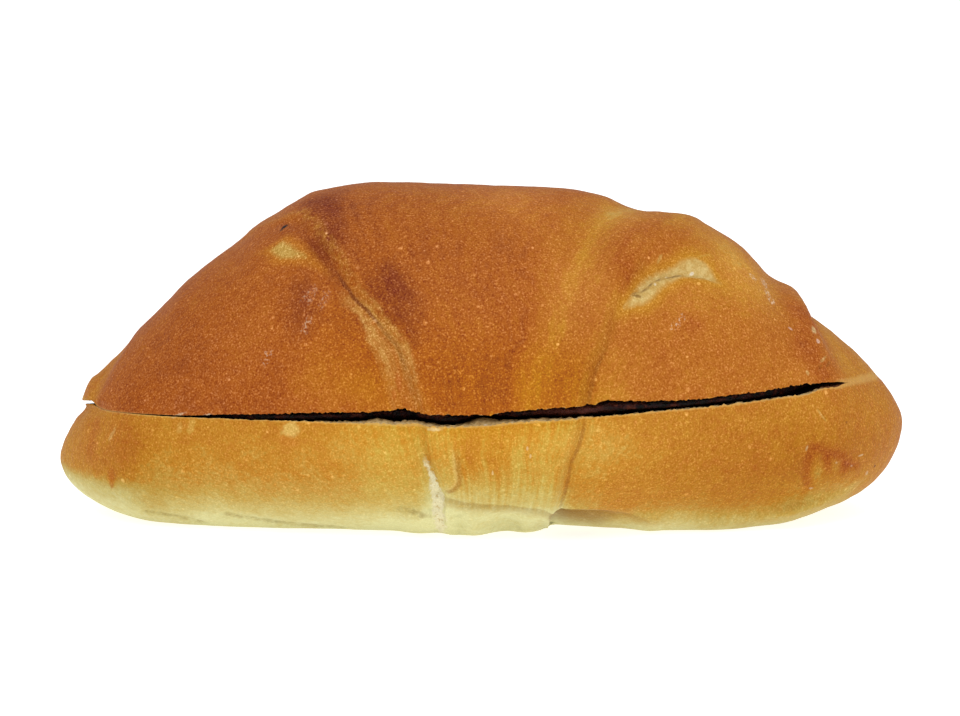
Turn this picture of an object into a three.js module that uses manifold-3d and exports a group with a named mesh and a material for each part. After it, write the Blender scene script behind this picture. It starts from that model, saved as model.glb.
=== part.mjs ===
// A salt bread roll: a long triangle of dough rolled up from its wide end, baked, split along the front
// with a knife and spread with dark bean paste. The bread is one piece, because the cut stops short of the
// back and leaves a hinge there. Millimetres, +X along the roll, -Y towards the cut's mouth, +Z up, with
// the origin on the floor under the middle of the roll.
import * as THREE from "three";
import { mergeVertices } from "three/addons/utils/BufferGeometryUtils.js";
import Module from "manifold-3d";

// Driving dimensions of the whole roll
const LENGTH = 150;
const WIDTH = 72;
const HEIGHT = 59;

// Seen from above: a spindle with blunt noses
const END_WIDTH = 30;
const WIDTH_TAPER = 1.8;
const SIDE_NOSE_LENGTH = 17;

// Seen from the front: shoulders that swell up to the crest, rounded noses, and an underside that lifts
// towards the noses from the flat that the tray left
const LEFT_END = { noseHeight: 10, noseTop: 17, shoulder: 57, swell: 1.74, undersideNose: 10, lift: 0.2 };
const RIGHT_END = { noseHeight: 17, noseTop: 20.5, shoulder: 54, swell: 1.62, undersideNose: 11, lift: 1.8 };
const CREST_FALL = { depth: 1, span: [-20, 20] };
const TOP_NOSE_LENGTH = 4;
const RELIEF_NOSE_LENGTH = 11;
const WAIST_HEIGHT = 18;
const WAIST_NOSE_LENGTH = 40;
const BASE_SINK = 4;
const LIFT_SPAN = [40, 72];

// Where the edges of the wraps lie along the roll, as [half turns from the base up the front, place]. The
// outer wrap narrows as it comes over the crest and down the front, to the tail tucked under the roll. The
// rings, where the next wrap ends, are the same at the back as on the front.
const OUTER_LEFT_EDGE = [[0, -7.5], [0.45, -9], [0.56, -11.5], [0.7, -21], [0.9, -31], [1.8, -54]];
const OUTER_RIGHT_EDGE = [[0, 9], [0.3, 11.8], [0.56, 18], [0.76, 26.3], [1, 37], [1.8, 56]];
const LEFT_RING = [[0, -71], [0.53, -69.2], [0.7, -66.7], [0.87, -61.2], [1, -56.5]];
const RIGHT_RING = [[0, 67], [0.73, 61.4], [0.9, 57.2], [1, 56]];
const UNDER_THE_ROLL = [1.82, 2];

// How the edges show: the outer wrap stands proud of the next one, least at the crest, with a crease along
// it, and the end rings, clear on the upper half, step down to the noses, the right one behind a raised lip
const OUTER_STEP = 1.1;
const OUTER_STEP_AT_CREST = 0.2;
const CREST_SPREAD = 0.5;
const LEFT_RING_STEP = 0.5;
const RIGHT_RING_STEP = 1.3;
const RIGHT_RING_LIP = 1;
const LIP_WIDTH = 2.4;
const RINGS_SHOW = [0.25, 0.75];
const STEP_ROUNDING = 2.4;
const CREASE_DEPTH = 0.9;
const CREASE_WIDTH = 2.2;

// A shallow fold in the outer wrap, deepest at the crest, and the gap that opened beside its right edge
const FOLD_LINE = [[0, 1], [0.56, 5.7], [0.8, 16.5], [1, 27], [1.8, 40]];
const FOLD_DEPTH = { front: 0.6, crest: 2.7 };
const FOLD_WIDTH = { front: 4, crest: 8 };
const GAP = { x: 33.5, turn: 0.775, lean: 0.0065, length: 16, width: 7, depth: 1.3 };

// The cut: a knife slit that leans along the roll, gapes at the mouth and bulges round the paste
const CUT_HEIGHT = 23.2;
const CUT_LEAN = 2.7;
const KNIFE_REACH = 21;
const KNIFE_OVERRUN = 15;
const MOUTH_GAP = 1.9;
const CLOSED_GAP = 0.5;
const PASTE_BULGE = 1.9;
const BULGE_DEPTH = 8;
const HINGE_CLOSING = 12;
const MOUTH_SPAN = { left: [-64, -24], right: [40, 70] };

// The bean paste, spread in the cut with a little clearance all round
const PASTE_SPAN = [-53, 64];
const PASTE_INSET = 1.6;
const PASTE_BACK_INSET = 3;
const CLEARANCE = 0.3;
const PASTE_LEAST_HALF = 0.16;
const RIM_THINNING = 0.45;
const RIM_SHARPNESS = 6;
const CORNER_ROUNDING = 0.75;
const CORNER_SHARPNESS = 8;

// Facets: rings along the roll, closer together at the edges of the wraps, which lie on rings of their own
const AROUND = 46;
const RINGS = { noses: 14, sides: 18, outerWrap: 22 };
const RING_CLUSTERING = 0.6;
const CUT_FACETS = [44, 8];
const PASTE_FACETS = [34, 7];

const { clamp, lerp, smoothstep, degToRad } = THREE.MathUtils;

// A smooth line through a few [place, value] points
function through(points, place) {
  let i = 0;
  while (i < points.length - 2 && place > points[i + 1][0]) i++;
  const slope = (k) => {
    const before = points[Math.max(k - 1, 0)];
    const after = points[Math.min(k + 1, points.length - 1)];
    return (after[1] - before[1]) / (after[0] - before[0]);
  };
  const [from, to] = [points[i], points[i + 1]];
  const span = to[0] - from[0];
  const t = clamp((place - from[0]) / span, 0, 1);
  const bend = (1 - t) * t * span * (slope(i) * (1 - t) - slope(i + 1) * t);
  const lean = (1 - t) * t * (to[1] - from[1]) * (2 * t - 1);
  return lerp(from[1], to[1], t) + bend + lean;
}

// A soft hump of this half width, 1 at its middle
function hump(distance, width) {
  return Math.exp(-Math.pow(distance / width, 2));
}

// How far a rounded nose of this length has opened, from 0 at the tip to 1
function noseOpening(fromTip, noseLength) {
  const left = 1 - clamp(fromTip / noseLength, 0, 1);
  return Math.sqrt(1 - left * left);
}

// The cross section at a place along the roll: two half ellipses that meet at the waist
function section(x) {
  const end = x < 0 ? LEFT_END : RIGHT_END;
  const fromTip = LENGTH / 2 - Math.abs(x);
  const upShoulder = 1 - Math.pow(1 - clamp(fromTip / end.shoulder, 0, 1), end.swell);
  const crest = HEIGHT - CREST_FALL.depth * smoothstep(x, ...CREST_FALL.span);
  const ridge = lerp(end.noseTop, crest, upShoulder);
  const underside = lerp(-BASE_SINK, end.lift, smoothstep(Math.abs(x), ...LIFT_SPAN));
  const top = lerp(end.noseHeight, ridge, noseOpening(fromTip, TOP_NOSE_LENGTH));
  const bottom = lerp(end.noseHeight, underside, noseOpening(fromTip, end.undersideNose));
  const waist = lerp(end.noseHeight, WAIST_HEIGHT, smoothstep(fromTip, 0, WAIST_NOSE_LENGTH));
  const width = lerp(WIDTH, END_WIDTH, Math.pow((2 * Math.abs(x)) / LENGTH, WIDTH_TAPER));
  return {
    waist,
    upper: Math.max(top - waist, 0),
    lower: Math.max(waist - bottom, 0),
    half: (width / 2) * noseOpening(fromTip, SIDE_NOSE_LENGTH),
    reliefShare: noseOpening(fromTip, RELIEF_NOSE_LENGTH),
  };
}

// Where the wraps' edges lie at a turn round the roll, from left to right; underneath, the edges of the
// outer wrap run back to where its tail begins
function wrapEdges(turn) {
  const under = smoothstep(turn, ...UNDER_THE_ROLL);
  const outer = (edge) => lerp(through(edge, turn), edge[0][1], under);
  const ring = (edge) => through(edge, 1 - Math.abs(turn - 1));
  return [ring(LEFT_RING), outer(OUTER_LEFT_EDGE), outer(OUTER_RIGHT_EDGE), ring(RIGHT_RING)];
}

// How far the wraps, the fold and the gap set the crust back from the smooth section, or out from it
function wrapRelief(x, turn) {
  const [leftRing, outerLeft, outerRight, rightRing] = wrapEdges(turn);
  const beyond = (distance) => smoothstep(distance, -STEP_ROUNDING / 2, STEP_ROUNDING / 2);
  const offCrest = smoothstep(Math.abs(turn - 1), 0, CREST_SPREAD);
  const outerStep = lerp(OUTER_STEP_AT_CREST, OUTER_STEP, offCrest);
  const outer = outerStep * (beyond(outerLeft - x) + beyond(x - outerRight));
  const lip = RIGHT_RING_LIP * hump(x - rightRing + LIP_WIDTH, LIP_WIDTH);
  const ringSteps = LEFT_RING_STEP * beyond(leftRing - x) + RIGHT_RING_STEP * beyond(x - rightRing);
  const rings = (ringSteps - lip) * smoothstep(1 - Math.abs(turn - 1), ...RINGS_SHOW);
  const crease = hump(x - outerLeft, CREASE_WIDTH) + hump(x - outerRight, CREASE_WIDTH);
  const foldDepth = lerp(FOLD_DEPTH.crest, FOLD_DEPTH.front, offCrest);
  const foldWidth = lerp(FOLD_WIDTH.crest, FOLD_WIDTH.front, offCrest);
  const fold = foldDepth * hump(x - through(FOLD_LINE, turn), foldWidth);
  const across = (turn - GAP.turn - GAP.lean * (x - GAP.x)) * HEIGHT;
  const gap = GAP.depth * hump(x - GAP.x, GAP.length / 2) * hump(across, GAP.width / 2);
  return -outer - rings - CREASE_DEPTH * offCrest * crease - fold - gap;
}

// A point of the roll's crust, kept on or above the floor; turn is in half turns from the base up the front
function crustPoint(x, turn) {
  const { waist, upper, lower, half, reliefShare } = section(x);
  const angle = Math.PI * (turn - 0.5);
  const [across, up] = [-Math.cos(angle), Math.sin(angle)];
  const height = up > 0 ? upper : lower;
  const outward = new THREE.Vector2(across * height, up * half);
  if (outward.lengthSq() > 0) outward.normalize();
  const relief = wrapRelief(x, turn) * reliefShare;
  const z = waist + up * height + outward.y * relief;
  return new THREE.Vector3(x, across * half + outward.x * relief, Math.max(z, 0));
}

// A closed geometry with only its corners left, each shared corner once
function bare(geometry) {
  geometry.deleteAttribute("normal");
  geometry.deleteAttribute("uv");
  return mergeVertices(geometry, 1e-4);
}

// Moves every corner of a geometry to where a function puts it
function reshape(geometry, place) {
  const corners = geometry.getAttribute("position");
  const corner = new THREE.Vector3();
  for (let i = 0; i < corners.count; i++) {
    const moved = place(corner.fromBufferAttribute(corners, i));
    corners.setXYZ(i, moved.x, moved.y, moved.z);
  }
  return geometry;
}

// The uncut roll: a ball with its poles at the two noses, whose rings are laid along the wraps' edges
function wholeRoll() {
  const { noses, sides, outerWrap } = RINGS;
  const counts = [noses, sides, outerWrap, sides, noses];
  const total = counts.reduce((sum, count) => sum + count);
  const ringPlace = (ring, turn) => {
    const marks = [-LENGTH / 2, ...wrapEdges(turn), LENGTH / 2];
    let stretch = 0;
    let left = ring;
    while (left > counts[stretch] && stretch < counts.length - 1) left -= counts[stretch++];
    const share = left / counts[stretch];
    const clustered = share - (RING_CLUSTERING * Math.sin(2 * Math.PI * share)) / (2 * Math.PI);
    return lerp(marks[stretch], marks[stretch + 1], clustered);
  };
  const ball = new THREE.SphereGeometry(1, AROUND, total).rotateZ(-Math.PI / 2);
  const drawn = reshape(ball, (corner) => {
    const ring = Math.round(total * (1 - Math.acos(clamp(corner.x, -1, 1)) / Math.PI));
    const turn = Math.atan2(-corner.y, -corner.z) / Math.PI;
    const wholeTurn = turn < 0 ? turn + 2 : turn;
    return crustPoint(ringPlace(ring, wholeTurn), wholeTurn);
  });
  return bare(drawn);
}

// Height of the middle of the cut
function cutHeight(x) {
  return CUT_HEIGHT + x * Math.tan(degToRad(CUT_LEAN));
}

// Where the crust meets the cut on the front
function mouthEdge(x) {
  const { waist, upper } = section(x);
  const sine = clamp((cutHeight(x) - waist) / upper, 0, 1);
  return crustPoint(x, 0.5 + Math.asin(sine) / Math.PI).y;
}

// Half the cut's opening, widest round the paste and closing towards the noses and the hinge
function cutHalf(x, y) {
  const { left, right } = MOUTH_SPAN;
  const gape = smoothstep(x, ...left) * (1 - smoothstep(x, ...right));
  const mouth = lerp(CLOSED_GAP, MOUTH_GAP, gape);
  const inFromMouth = smoothstep(y - mouthEdge(x), 0, BULGE_DEPTH);
  const offHinge = 1 - smoothstep(y, KNIFE_REACH - HINGE_CLOSING, KNIFE_REACH);
  const alongPaste = smoothstep(x, left[0], PASTE_SPAN[0]) * (1 - smoothstep(x, PASTE_SPAN[1], right[1]));
  return (lerp(CLOSED_GAP, mouth, offHinge) + PASTE_BULGE * inFromMouth * offHinge * alongPaste) / 2;
}

// What the knife takes away, from in front of the roll to the hinge and out past both noses
function knifeCut() {
  const [long, deep] = CUT_FACETS;
  const inFront = -WIDTH;
  const slab = new THREE.BoxGeometry(LENGTH + 2 * KNIFE_OVERRUN, deep, 2, long, deep, 1);
  const cut = reshape(slab, (corner) => {
    const edge = mouthEdge(corner.x);
    const row = Math.round(corner.y + deep / 2);
    const y = row === 0 ? inFront : lerp(edge, KNIFE_REACH, (row - 1) / (deep - 1));
    const half = cutHalf(corner.x, y);
    return new THREE.Vector3(corner.x, y, cutHeight(corner.x) + Math.sign(corner.z) * half);
  });
  return bare(cut);
}

// The layer of bean paste, from just behind the mouth to just short of the hinge
function pasteLayer() {
  const [long, deep] = PASTE_FACETS;
  const slab = new THREE.BoxGeometry(2, 2, 2, long, deep, 1);
  const layer = reshape(slab, (corner) => {
    const { x: u, y: v } = corner;
    const x = lerp(...PASTE_SPAN, (u + 1) / 2);
    const front = mouthEdge(x) + PASTE_INSET;
    const back = Math.min(KNIFE_REACH, -mouthEdge(x)) - PASTE_BACK_INSET;
    const rounding = Math.sqrt(1 - CORNER_ROUNDING * Math.pow(u, CORNER_SHARPNESS));
    const y = lerp(front, back, 0.5 + (v * rounding) / 2);
    const rim = lerp(1, RIM_THINNING, Math.pow(Math.max(Math.abs(u), Math.abs(v)), RIM_SHARPNESS));
    const half = Math.max((cutHalf(x, y) - CLEARANCE) * rim, PASTE_LEAST_HALF);
    return new THREE.Vector3(x, y, cutHeight(x) + Math.sign(corner.z) * half);
  });
  return bare(layer);
}

const wasm = await Module();
wasm.setup();

// A closed geometry as a solid that can be cut
function solidOf(geometry) {
  const mesh = new wasm.Mesh({
    numProp: 3,
    vertProperties: new Float32Array(geometry.getAttribute("position").array),
    triVerts: new Uint32Array(geometry.index.array),
  });
  return new wasm.Manifold(mesh);
}

// A solid as a geometry again
function geometryOf(solid) {
  const { vertProperties, triVerts } = solid.getMesh();
  const geometry = new THREE.BufferGeometry();
  geometry.setAttribute("position", new THREE.BufferAttribute(vertProperties, 3));
  geometry.setIndex(new THREE.BufferAttribute(triVerts, 1));
  geometry.computeVertexNormals();
  return geometry;
}

function named(name, geometry, material) {
  const mesh = new THREE.Mesh(geometry, material);
  mesh.name = name;
  return mesh;
}

const crust = new THREE.MeshStandardMaterial({ color: 0xbf8032, roughness: 0.6, metalness: 0 });
const beanPaste = new THREE.MeshStandardMaterial({ color: 0x24140f, roughness: 0.45, metalness: 0 });

const bread = geometryOf(solidOf(wholeRoll()).subtract(solidOf(knifeCut())));
const paste = pasteLayer();

// The roll's box is centred over the origin
bread.computeBoundingBox();
const middle = bread.boundingBox.getCenter(new THREE.Vector3());

const roll = new THREE.Group();
roll.add(named("bread_roll", bread, crust));
roll.add(named("bean_paste", paste, beanPaste));
roll.position.set(-middle.x, -middle.y, 0);

export default new THREE.Group().add(roll);
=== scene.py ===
# Looks of a salt bread roll: the baked roll with its wraps, the torn crumb and ragged lips of the knife cut,
# and the bean paste in it. Formulas work in millimetres, and MM takes them to Blender's metres.
import math
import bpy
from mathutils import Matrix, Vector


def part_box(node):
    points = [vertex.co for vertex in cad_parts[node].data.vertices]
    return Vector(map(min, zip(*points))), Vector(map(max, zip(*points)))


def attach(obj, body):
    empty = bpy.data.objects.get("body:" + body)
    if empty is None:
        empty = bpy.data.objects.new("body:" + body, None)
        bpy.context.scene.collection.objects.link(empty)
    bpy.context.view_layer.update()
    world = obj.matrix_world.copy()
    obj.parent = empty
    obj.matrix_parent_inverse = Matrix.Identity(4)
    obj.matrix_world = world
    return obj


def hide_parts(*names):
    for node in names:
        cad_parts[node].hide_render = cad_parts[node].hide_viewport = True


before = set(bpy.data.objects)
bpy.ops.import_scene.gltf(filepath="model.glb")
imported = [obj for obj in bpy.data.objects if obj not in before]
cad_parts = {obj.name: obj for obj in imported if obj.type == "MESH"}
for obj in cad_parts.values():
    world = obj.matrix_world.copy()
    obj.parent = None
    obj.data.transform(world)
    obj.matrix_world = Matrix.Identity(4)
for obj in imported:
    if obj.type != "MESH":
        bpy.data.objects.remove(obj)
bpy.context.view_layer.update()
from types import SimpleNamespace

import bmesh
import bpy
import numpy as np
from mathutils import Vector

MM = 0.001

# The roll's box gives its driving dimensions
low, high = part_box("bread_roll")
LENGTH = (high.x - low.x) / MM
WIDTH = (high.y - low.y) / MM
HEIGHT = high.z / MM

# The smooth roll: a spindle seen from above, with shoulders and rounded noses seen from the front
END_WIDTH = 30
WIDTH_TAPER = 1.8
SIDE_NOSE_LENGTH = 17
LEFT_END = {"nose_height": 9.6, "nose_top": 17, "top_nose": 8, "shoulder": 57, "swell": 1.74,
            "under_nose": 18, "lift": -1.5}
RIGHT_END = {"nose_height": 16, "nose_top": 20.5, "top_nose": 4, "shoulder": 54, "swell": 1.62,
             "under_nose": 12, "lift": 2}
CREST_FALL = 1
CREST_FALL_SPAN = (-20, 20)
CREST_LIFT = [(-75, 0), (-71.4, 0.1), (-70.2, 0.9), (-69.4, 0.9), (-68.2, 0), (-67.2, -0.25), (-66, -0.25),
              (-63, -0.3), (-60, -0.45), (-57, -0.6), (-55, -0.5), (-53, -0.2), (-48, -0.3), (-44, -0.4),
              (-42.5, -0.45), (-40.5, 0.05), (-38, 0.3), (-36, 0.3), (-34, 0.55), (-32, 0.75), (-30, 1),
              (-27, 0.6), (-20, 0.1), (-16, 0), (20, 0), (24, 0.3), (28, 0.2), (33, 0.5), (37, 1),
              (42, 0.8), (46, 0.7), (48.4, 0.1), (50.3, -0.7), (52, -0.9), (54, -0.8), (58, -0.3),
              (60, 0.1), (62, 0), (66.3, -0.4), (70.5, -0.9), (72.7, -0.7), (75, 0)]
RELIEF_NOSE_LENGTH = 11
WAIST_HEIGHT = 18
WAIST_NOSE_LENGTH = 40
BASE_SINK = 4
BASE_ROUNDING = 0.8
LIFT_SPAN = (40, 72)

# The cage that the roll is drawn from
CAGE_AROUND = 34
CAGE_RINGS = 38
CAGE_LEVELS = 3
LEAST_RING = 0.05

# How far up and over the crust the turns lie: half turns from the base up the front, and millimetres
TURNS = (0, 0.5, 1.5, 2)
CLIMBS = (0, 33, 138, 171)
FAR = 99

# Lines that climb the roll: half turns from the base up the front, and the place along the roll
OUTER_LEFT_EDGE = [(0, -7), (0.26, -7), (0.334, -7.2), (0.4, -7.8), (0.466, -9.2), (0.55, -11),
                   (0.608, -12.8), (0.635, -14), (0.66, -16.4), (0.685, -18.9), (0.709, -21.5),
                   (0.749, -24.2), (0.82, -28.4), (0.864, -30.6), (0.9, -33), (0.945, -38), (1, -43),
                   (1.8, -56)]
OUTER_RIGHT_EDGE = [(0, 10.5), (0.3, 13.2), (0.375, 14.2), (0.46, 15.2), (0.52, 17), (0.6, 19), (0.655, 21.9),
                    (0.732, 24.7), (0.82, 30.5), (1, 38.5), (1.8, 56)]
UNDER_THE_ROLL = (1.82, 2)
LEFT_RING = [(0, -71), (0.53, -70), (0.736, -67.7), (0.783, -66.9), (0.898, -64.5), (0.93, -63.4),
             (0.965, -62.4), (1, -62)]
RIGHT_RING = [(0, 67), (0.665, 60.8), (0.726, 61), (0.8, 60.1), (0.888, 58.1), (1, 57.1)]
FOLD_LINE = [(0, 2), (0.564, 7), (0.614, 9.7), (0.715, 13.2), (0.844, 18.5), (0.955, 24), (1, 27), (1.8, 40)]
RED_BORDER = [(0, 3), (0.584, 4.7), (0.624, 6.5), (0.688, 8.2), (0.749, 9.5), (0.9, 14), (1, 18), (1.8, 30)]
LEFT_STRAND = [(0.54, -14), (0.564, -14.5), (0.594, -15.5), (0.628, -16.9), (0.641, -18), (0.668, -18.9),
               (0.685, -19.9), (0.699, -22), (0.722, -23.4)]
RIGHT_STRAND = [(0.54, -9.2), (0.557, -10), (0.574, -10.8), (0.594, -11.5), (0.631, -13), (0.645, -14.2),
                (0.668, -16.7), (0.702, -19.5), (0.719, -21.5), (0.736, -22.7)]
TORN_STRIP = [(0.2, -6.9), (0.26, -7), (0.334, -7.2), (0.398, -7.7), (0.432, -8.5), (0.466, -9.2),
              (0.5, -9.6)]

# Lines that lie along the roll: the place along it, and half turns from the base up the front
EYE_LINE = [(24.5, 0.711), (25.7, 0.723), (27, 0.726), (28.2, 0.737), (29.2, 0.748), (30.7, 0.759),
            (32.2, 0.766), (33.5, 0.773), (34.7, 0.776), (37.2, 0.779), (38.9, 0.783), (40.5, 0.788)]
EYE_TOP = [(23.8, 0.7), (24.8, 0.709), (25.9, 0.726), (27.2, 0.748), (28.7, 0.765), (30, 0.776),
           (31.7, 0.787), (33, 0.797), (34, 0.807), (35.7, 0.818), (37.2, 0.823), (38.7, 0.819),
           (39.7, 0.808), (40.6, 0.79)]
EYE_BOTTOM = [(23.8, 0.694), (25.2, 0.699), (26.5, 0.703), (27.5, 0.707), (29.2, 0.721), (30.2, 0.734),
              (31.7, 0.751), (33.2, 0.763), (34.7, 0.773), (37.2, 0.778), (38.9, 0.782), (40.6, 0.789)]
EYE_ENDS = (24.2, 40.8)
PALE_CORNER = [(-36.8, 0.845), (-34.5, 0.805), (-28.6, 0.775), (-34, 0.85)]
OVERHANG_LINE = [(-13.5, 0.33), (-5.7, 0.36), (-3.2, 0.351), (1.5, 0.338), (7, 0.326), (10.6, 0.319),
                 (12.2, 0.3), (20.5, 0.292), (29.2, 0.262), (38.2, 0.23)]
BASE_CREASES = [[(-58.2, 0.26), (-51.2, 0.223), (-48.7, 0.196)],
                [(-44.2, 0.262), (-41, 0.24), (-36, 0.215), (-30, 0.195), (-24, 0.185)],
                [(-14, 0.309), (-12.2, 0.306), (-8.3, 0.3)]]
TONGUE_SPINE = [(-7.6, 0.56), (-6.2, 0.425)]
TONGUE_RADIUS = 2.4
SCALE_EDGES = [[(57.2, 0.483), (58.5, 0.465), (60, 0.453), (61.9, 0.435), (62.9, 0.413), (62.7, 0.37)],
               [(56.6, 0.47), (55.9, 0.42), (56, 0.38), (56.3, 0.32)], [(59.3, 0.437), (59.8, 0.38)],
               [(62.9, 0.4), (65, 0.377)]]

# How far the tail under the roll stands out, and how deep the roll is hollowed beside it, along the roll
TAIL_START = (-16, -7)
TAIL_END = 11.9
TAIL_REACH = [(-15, 0), (-12, 1.5), (-8, 2), (-6, 1.2), (-4, -1), (-2.4, 0.3), (-0.6, 0.6), (1.5, -1),
              (3.3, -2.4), (4.6, -3), (6, -2.8), (7.6, -1.8), (9, -2.4), (10.6, -4), (11.5, -5), (12.5, -5)]
RECESS_END = 66
RECESS_DEPTH = [(11, 4.3), (13, 4.8), (14.7, 4.4), (16.8, 3.8), (19, 3), (21, 2.1), (23, 1.4), (25, 0.8),
                (27.2, -0.8), (29.3, -2.2), (31.4, -1.6), (36, -2), (40, -2.6), (48, -2.6), (54, -4),
                (58, -3.2), (62, -1.5), (RECESS_END, 0)]

# The cut: a flat knife stroke, and the heights of its lips at the mouth
CUT_HEIGHT = 23.1
CUT_LEAN = math.tan(math.radians(2.5))
KNIFE_REACH = 21
KNIFE_SPAN = (-87, 63.6)
BACK_CRUST = 3
TILTED_END = (-66.4, -67.8)
TILT_START = -9.5
END_TILT = math.tan(math.radians(9))
CUT_COLUMNS = 420
CUT_ROWS = 20
ROW_CROWDING = 2.2
CUT_OVERLAP = 0.4
UPPER_LIP = [(-68.2, 21.6), (-67.3, 20.7), (-66, 20.62), (-62, 20.98), (-58, 21.2), (-54, 21.4),
             (-50, 21.62), (-43, 22.3), (-37, 22.65), (-30, 23.2), (-24, 23.55), (-18, 23.75),
             (-15.2, 24.1), (-13.2, 24.45), (-12, 24.1), (-10.6, 23.7), (-4.6, 23.7), (1.4, 23.75),
             (3.4, 24.1), (7.4, 24.3), (13.5, 24.8), (18.5, 24.9), (20.2, 25.3), (21.5, 25.5), (27.6, 25.2),
             (35.8, 25.15), (42, 25.5), (48.3, 25.8), (54.6, 26.32), (57.8, 26.42), (59.7, 26.33),
             (61.2, 26.16), (62.4, 25.92), (63, 25.72), (66, 25.55), (75, 24.5)]
LOWER_LIP = [(-68.2, 21), (-67.3, 20.6), (-66, 20.56), (-62, 20.92), (-58, 21.12), (-54, 21.25),
             (-50, 21.38), (-45, 21.6), (-39, 21.7), (-33, 21.85), (-27, 21.85), (-18, 21.8), (-10, 21.7),
             (-4.6, 21.75), (0.4, 21.95), (3.4, 22.2), (7.4, 22.45), (11.4, 22.65), (15.5, 22.85),
             (19.5, 23), (23.5, 23.18), (27.6, 23.4), (31.7, 23.58), (35.8, 23.72), (39.9, 23.9),
             (46, 24.28), (50.4, 24.55), (53, 24.65), (55.5, 24.75), (56.7, 25.08), (57.9, 25.34),
             (59.7, 25.5), (61.2, 25.36), (62.4, 25.58), (63, 25.66), (66, 25.49), (75, 24.44)]
LIP_DEPTH = 7
LIP_BUMPS = (0.8, 0.55)
RAGGED_GAP = 1.4
PASTE_BULGE = 1.9
BULGE_DEPTH = 8
BULGE_FADES = (-64, -53, 52, 60)
HINGE_CLOSING = 12
CLOSED_GAP = 0.12

# Mounds of crumb on the lower face of the cut: place along the roll, half width and height
CRUMB_MOUNDS = [(-26, 4, 0.25), (-21, 3, 0.4), (-16.9, 2.3, 0.95), (-12.3, 2.4, 0.85), (-9.3, 2, 0.35),
                (0, 2.5, 0.95), (4.5, 3, 0.35), (10, 3, 0.3)]
MOUND_FRONT = (0.9, 2.2)
MOUND_BACK = (9, 5)
MOUND_SHARE = 0.7


def lerp(start, end, share):
    return start + (end - start) * share


def smoothstep(value, start, end):
    share = np.clip((value - start) / (end - start), 0, 1)
    return share * share * (3 - 2 * share)


def hump(distance, width):
    """A soft hump of this half width, 1 at its middle."""
    return np.exp(-((distance / width) ** 2))


def within(value, start, end, soft):
    """1 between start and end, fading to 0 outside them."""
    return smoothstep(value, start - soft, start + soft) * smoothstep(value, end + soft, end - soft)


def through(points, place):
    """A smooth line through a few (place, value) points."""
    places, values = np.array(points, float).T
    before = np.maximum(np.arange(len(places)) - 1, 0)
    after = np.minimum(np.arange(len(places)) + 1, len(places) - 1)
    slopes = (values[after] - values[before]) / (places[after] - places[before])
    i = np.clip(np.searchsorted(places, place) - 1, 0, len(places) - 2)
    span = places[i + 1] - places[i]
    t = np.clip((place - places[i]) / span, 0, 1)
    bend = (1 - t) * t * span * (slopes[i] * (1 - t) - slopes[i + 1] * t)
    return lerp(values[i], values[i + 1], t * t * (3 - 2 * t)) + bend


def nose_opening(from_tip, nose_length):
    """How far a rounded nose of this length has opened, from 0 at the tip to 1."""
    left = 1 - np.clip(from_tip / nose_length, 0, 1)
    return np.sqrt(1 - left * left)


def section(x):
    """Waist height, height above and below the waist, and half width of the roll at a place along it."""
    end = {key: np.where(x < 0, LEFT_END[key], RIGHT_END[key]) for key in LEFT_END}
    from_tip = np.maximum(LENGTH / 2 - np.abs(x), 0)
    up_shoulder = 1 - (1 - np.clip(from_tip / end["shoulder"], 0, 1)) ** end["swell"]
    crest = HEIGHT - CREST_FALL * smoothstep(x, *CREST_FALL_SPAN)
    ridge = lerp(end["nose_top"], crest, up_shoulder)
    underside = lerp(-BASE_SINK, end["lift"], smoothstep(np.abs(x), *LIFT_SPAN))
    top = lerp(end["nose_height"], ridge, nose_opening(from_tip, end["top_nose"])) + through(CREST_LIFT, x)
    bottom = lerp(end["nose_height"], underside, nose_opening(from_tip, end["under_nose"]))
    waist = lerp(end["nose_height"], WAIST_HEIGHT, smoothstep(from_tip, 0, WAIST_NOSE_LENGTH))
    width = lerp(WIDTH, END_WIDTH, (2 * np.minimum(np.abs(x), LENGTH / 2) / LENGTH) ** WIDTH_TAPER)
    half = width / 2 * nose_opening(from_tip, SIDE_NOSE_LENGTH)
    return waist, np.maximum(top - waist, 0), np.maximum(waist - bottom, 0), half


def turn_at(x, y, z):
    """Half turns round the roll, from the base up the front, over the crest and down the back."""
    waist, upper, lower, half = section(x)
    height = np.maximum(np.where(z > waist, upper, lower), 0.1)
    turn = 0.5 + np.arctan2((z - waist) / height, -y / np.maximum(half, 0.1)) / math.pi
    return np.where(turn < 0, turn + 2, turn)


def climb(turn):
    return np.interp(turn, TURNS, CLIMBS)


def front_climb(x, z):
    """How far up the front of the crust a height lies."""
    waist, upper, lower, _ = section(np.array(x))
    sine = np.clip((z - waist) / np.where(z > waist, upper, lower), -1, 1)
    return float(climb(0.5 + np.arcsin(sine) / math.pi))


def left_edge(turn):
    """The outer wrap's left edge, which meets itself under the roll."""
    return lerp(through(OUTER_LEFT_EDGE, turn), OUTER_LEFT_EDGE[0][1], smoothstep(turn, *UNDER_THE_ROLL))


def right_edge(turn):
    return lerp(through(OUTER_RIGHT_EDGE, turn), OUTER_RIGHT_EDGE[0][1], smoothstep(turn, *UNDER_THE_ROLL))


def from_base(turn):
    """Half turns from the base up the nearer side, front or back."""
    return 1 - np.abs(turn - 1)


def beside(x, turn, edge):
    """How far over the crust a place lies to the right of an edge that climbs the roll."""
    step = 0.004
    lean = (edge(turn + step) - edge(turn - step)) / (climb(turn + step) - climb(turn - step) + 1e-6)
    return (x - edge(turn)) / np.sqrt(1 + lean * lean)


def beside_line(x, turn, line):
    return beside(x, turn, lambda place: through(line, place))


def above(x, turn, line):
    """How far over the crust a place lies above a line along the roll."""
    step = 0.25
    rise = (climb(through(line, x + step)) - climb(through(line, x - step))) / (2 * step)
    return (climb(turn) - climb(through(line, x))) / np.sqrt(1 + rise * rise)


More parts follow.
